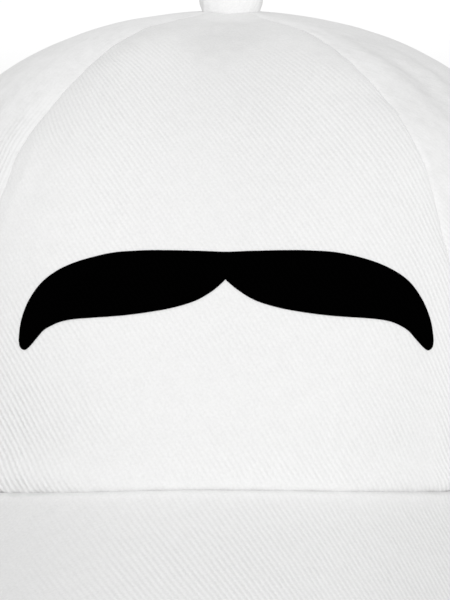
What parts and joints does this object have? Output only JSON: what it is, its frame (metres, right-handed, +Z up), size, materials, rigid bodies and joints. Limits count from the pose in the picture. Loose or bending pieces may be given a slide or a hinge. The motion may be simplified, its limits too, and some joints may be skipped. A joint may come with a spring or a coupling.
{
  "type": "baseball cap",
  "caption": "Soft cotton baseball cap with a curved peak, a covered top button, a strap across the back opening and a plain black moustache printed on its wide front panel.",
  "frame": {"origin": "on the table, under the middle of the cap's bounding box", "axes": "+Z up, the cap's peak points to -Y, +X is to the right of someone who faces the front of the cap"},
  "size_m": [0.1736, 0.2708, 0.1284],
  "materials": {
    "twill": "matt white cotton twill with a steep diagonal rib",
    "print": "matt black ink that shows the weave faintly"
  },
  "bodies": {
    "root": {"front_panel": "twill", "side_panel_left": "twill", "side_panel_right": "twill", "back_panel_left": "twill", "back_panel_right": "twill", "peak": "twill", "top_button": "twill", "closure_strap": "twill", "moustache_print": "print"}
  },
  "joints": []
}
